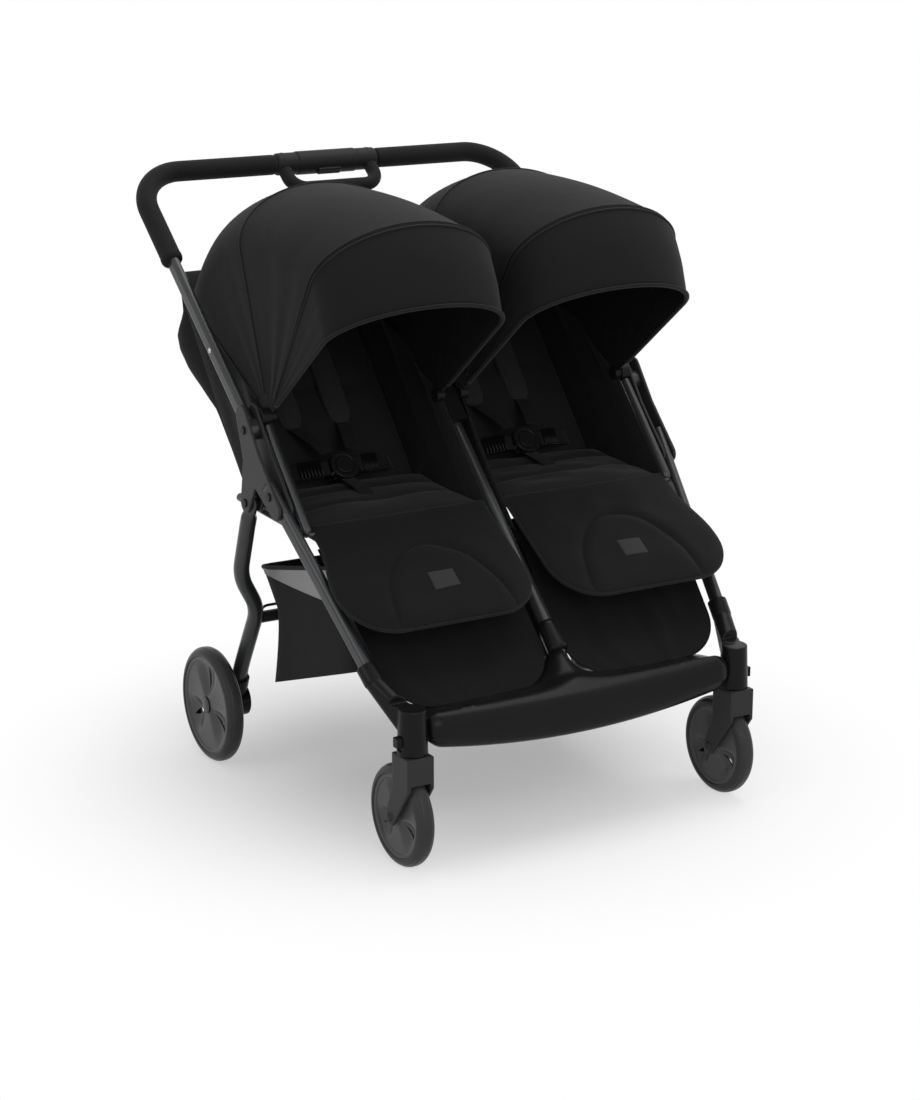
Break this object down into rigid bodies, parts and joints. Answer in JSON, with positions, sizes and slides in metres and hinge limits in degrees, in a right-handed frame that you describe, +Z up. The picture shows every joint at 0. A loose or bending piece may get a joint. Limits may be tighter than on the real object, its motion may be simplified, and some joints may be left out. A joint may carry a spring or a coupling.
{
  "type": "side by side double stroller",
  "caption": "Folding side by side double stroller with padded seats, arched hoods, leg rests, a wrapped push bar, swivel casters and a cloth basket.",
  "frame": {"origin": "on the floor under the middle of the stroller", "axes": "+Z up, the front faces -Y, +X is to the right when seen from the front camera side"},
  "size_m": [0.763, 0.891, 0.993],
  "materials": {
    "cloth": "matt woven",
    "webbing": "woven webbing",
    "shoulder_cloth": "soft matt",
    "foam": "matt foam",
    "tube": "satin gunmetal",
    "steel": "satin",
    "plastic": "satin moulded",
    "gloss": "polished",
    "rubber": "satin",
    "rim": "satin"
  },
  "bodies": {
    "chassis": {"front_crossbar": "plastic", "caster_socket_left": "plastic", "caster_socket_right": "plastic", "front_tube_left": "tube", "front_tube_right": "tube", "centre_tube": "tube", "side_bracket_left": "plastic", "side_bracket_right": "plastic", "centre_bracket": "plastic", "seat_rail_left": "tube", "seat_rail_right": "tube", "frame_pins": "steel", "seat_pad_left": "cloth", "seat_pad_right": "cloth", "calf_panel_left": "cloth", "calf_panel_right": "cloth", "seat_wing_left": "cloth", "seat_wing_right": "cloth", "hood_shell_left": "cloth", "hood_shell_right": "cloth", "hood_hinges": "plastic", "basket": "cloth", "harness_straps": "webbing", "buckle_left": "gloss", "buckle_right": "gloss"},
    "push_frame": {"push_bar": "tube", "grip_left": "foam", "grip_right": "foam", "fold_hub": "plastic", "grab_loop": "foam"},
    "fold_release": {"fold_button": "gloss"},
    "rear_frame": {"rear_leg_left": "tube", "rear_leg_right": "tube", "cross_tube": "tube", "brake_housing_left": "plastic", "brake_housing_right": "plastic", "brake_cable": "plastic"},
    "brake_lever": {"brake_pedal": "plastic"},
    "caster_left": {"caster_fork_left": "plastic"},
    "front_wheel_left": {"front_tyre_left": "rubber", "front_rim_left": "rim"},
    "rear_wheel_left": {"rear_tyre_left": "rubber", "rear_rim_left": "rim"},
    "swivel_lock_left": {"caster_lock_left": "plastic"},
    "seat_back_left": {"backrest_left": "cloth", "shoulder_pads_left": "shoulder_cloth"},
    "footrest_left": {"leg_rest_left": "cloth"},
    "visor_left": {"hood_visor_left": "cloth"},
    "harness_release_left": {"buckle_button_left": "gloss"},
    "caster_right": {"caster_fork_right": "plastic"},
    "front_wheel_right": {"front_tyre_right": "rubber", "front_rim_right": "rim"},
    "rear_wheel_right": {"rear_tyre_right": "rubber", "rear_rim_right": "rim"},
    "swivel_lock_right": {"caster_lock_right": "plastic"},
    "seat_back_right": {"backrest_right": "cloth", "shoulder_pads_right": "shoulder_cloth"},
    "footrest_right": {"leg_rest_right": "cloth"},
    "visor_right": {"hood_visor_right": "cloth"},
    "harness_release_right": {"buckle_button_right": "gloss"}
  },
  "joints": [
    {"name": "frame_fold", "type": "hinge", "parent": "chassis", "child": "push_frame", "pos_m": [0, -0.002, 0.618], "axis": [1, 0, 0], "range_deg": [0, 170], "deforming": ["basket"]},
    {"name": "rear_leg_fold", "type": "hinge", "parent": "chassis", "child": "rear_frame", "pos_m": [0, -0.002, 0.5], "axis": [1, 0, 0], "range_deg": [-55, 0]},
    {"name": "fold_release_press", "type": "slide", "parent": "push_frame", "child": "fold_release", "axis": [0, 0.7694, 0.6388], "range_m": [0, 0.003], "stiffness_N_per_m": 400},
    {"name": "brake_press", "type": "hinge", "parent": "rear_frame", "child": "brake_lever", "pos_m": [0, 0.2365, 0.1105], "axis": [1, 0, 0], "range_deg": [-22, 0]},
    {"name": "caster_swivel_left", "type": "hinge", "parent": "chassis", "child": "caster_left", "pos_m": [-0.3, -0.3965, 0], "axis": [0, 0, 1], "continuous": true},
    {"name": "front_wheel_spin_left", "type": "hinge", "parent": "caster_left", "child": "front_wheel_left", "pos_m": [-0.3, -0.3645, 0.081], "axis": [1, 0, 0], "continuous": true},
    {"name": "rear_wheel_spin_left", "type": "hinge", "parent": "rear_frame", "child": "rear_wheel_left", "pos_m": [-0.35, 0.1985, 0.0985], "axis": [1, 0, 0], "continuous": true},
    {"name": "swivel_lock_slide_left", "type": "slide", "parent": "chassis", "child": "swivel_lock_left", "axis": [0, 0, -1], "range_m": [0, 0.006]},
    {"name": "back_recline_left", "type": "hinge", "parent": "chassis", "child": "seat_back_left", "pos_m": [0, 0.082, 0.485], "axis": [1, 0, 0], "range_deg": [-20, 20], "deforming": ["seat_wing_left", "shoulder_pads_left", "harness_straps"]},
    {"name": "footrest_lift_left", "type": "hinge", "parent": "chassis", "child": "footrest_left", "pos_m": [0, -0.15, 0.477], "axis": [1, 0, 0], "range_deg": [-32, 0]},
    {"name": "visor_fold_left", "type": "hinge", "parent": "chassis", "child": "visor_left", "pos_m": [0, -0.005, 0.636], "axis": [1, 0, 0], "range_deg": [-48, 0], "deforming": ["hood_shell_left"]},
    {"name": "harness_press_left", "type": "slide", "parent": "chassis", "child": "harness_release_left", "axis": [0, 0.766, -0.6428], "range_m": [0, 0.003], "stiffness_N_per_m": 400},
    {"name": "caster_swivel_right", "type": "hinge", "parent": "chassis", "child": "caster_right", "pos_m": [0.3, -0.3965, 0], "axis": [0, 0, 1], "continuous": true},
    {"name": "front_wheel_spin_right", "type": "hinge", "parent": "caster_right", "child": "front_wheel_right", "pos_m": [0.3, -0.3645, 0.081], "axis": [1, 0, 0], "continuous": true},
    {"name": "rear_wheel_spin_right", "type": "hinge", "parent": "rear_frame", "child": "rear_wheel_right", "pos_m": [0.35, 0.1985, 0.0985], "axis": [1, 0, 0], "continuous": true},
    {"name": "swivel_lock_slide_right", "type": "slide", "parent": "chassis", "child": "swivel_lock_right", "axis": [0, 0, -1], "range_m": [0, 0.006]},
    {"name": "back_recline_right", "type": "hinge", "parent": "chassis", "child": "seat_back_right", "pos_m": [0, 0.082, 0.485], "axis": [1, 0, 0], "range_deg": [-20, 20], "deforming": ["seat_wing_right", "shoulder_pads_right"]},
    {"name": "footrest_lift_right", "type": "hinge", "parent": "chassis", "child": "footrest_right", "pos_m": [0, -0.15, 0.477], "axis": [1, 0, 0], "range_deg": [-32, 0]},
    {"name": "visor_fold_right", "type": "hinge", "parent": "chassis", "child": "visor_right", "pos_m": [0, -0.005, 0.636], "axis": [1, 0, 0], "range_deg": [-48, 0], "deforming": ["hood_shell_right"]},
    {"name": "harness_press_right", "type": "slide", "parent": "chassis", "child": "harness_release_right", "axis": [0, 0.766, -0.6428], "range_m": [0, 0.003], "stiffness_N_per_m": 400}
  ],
  "couplings": [
    {"joint": "rear_leg_fold", "follows": "frame_fold", "ratio": -0.32353}
  ]
}
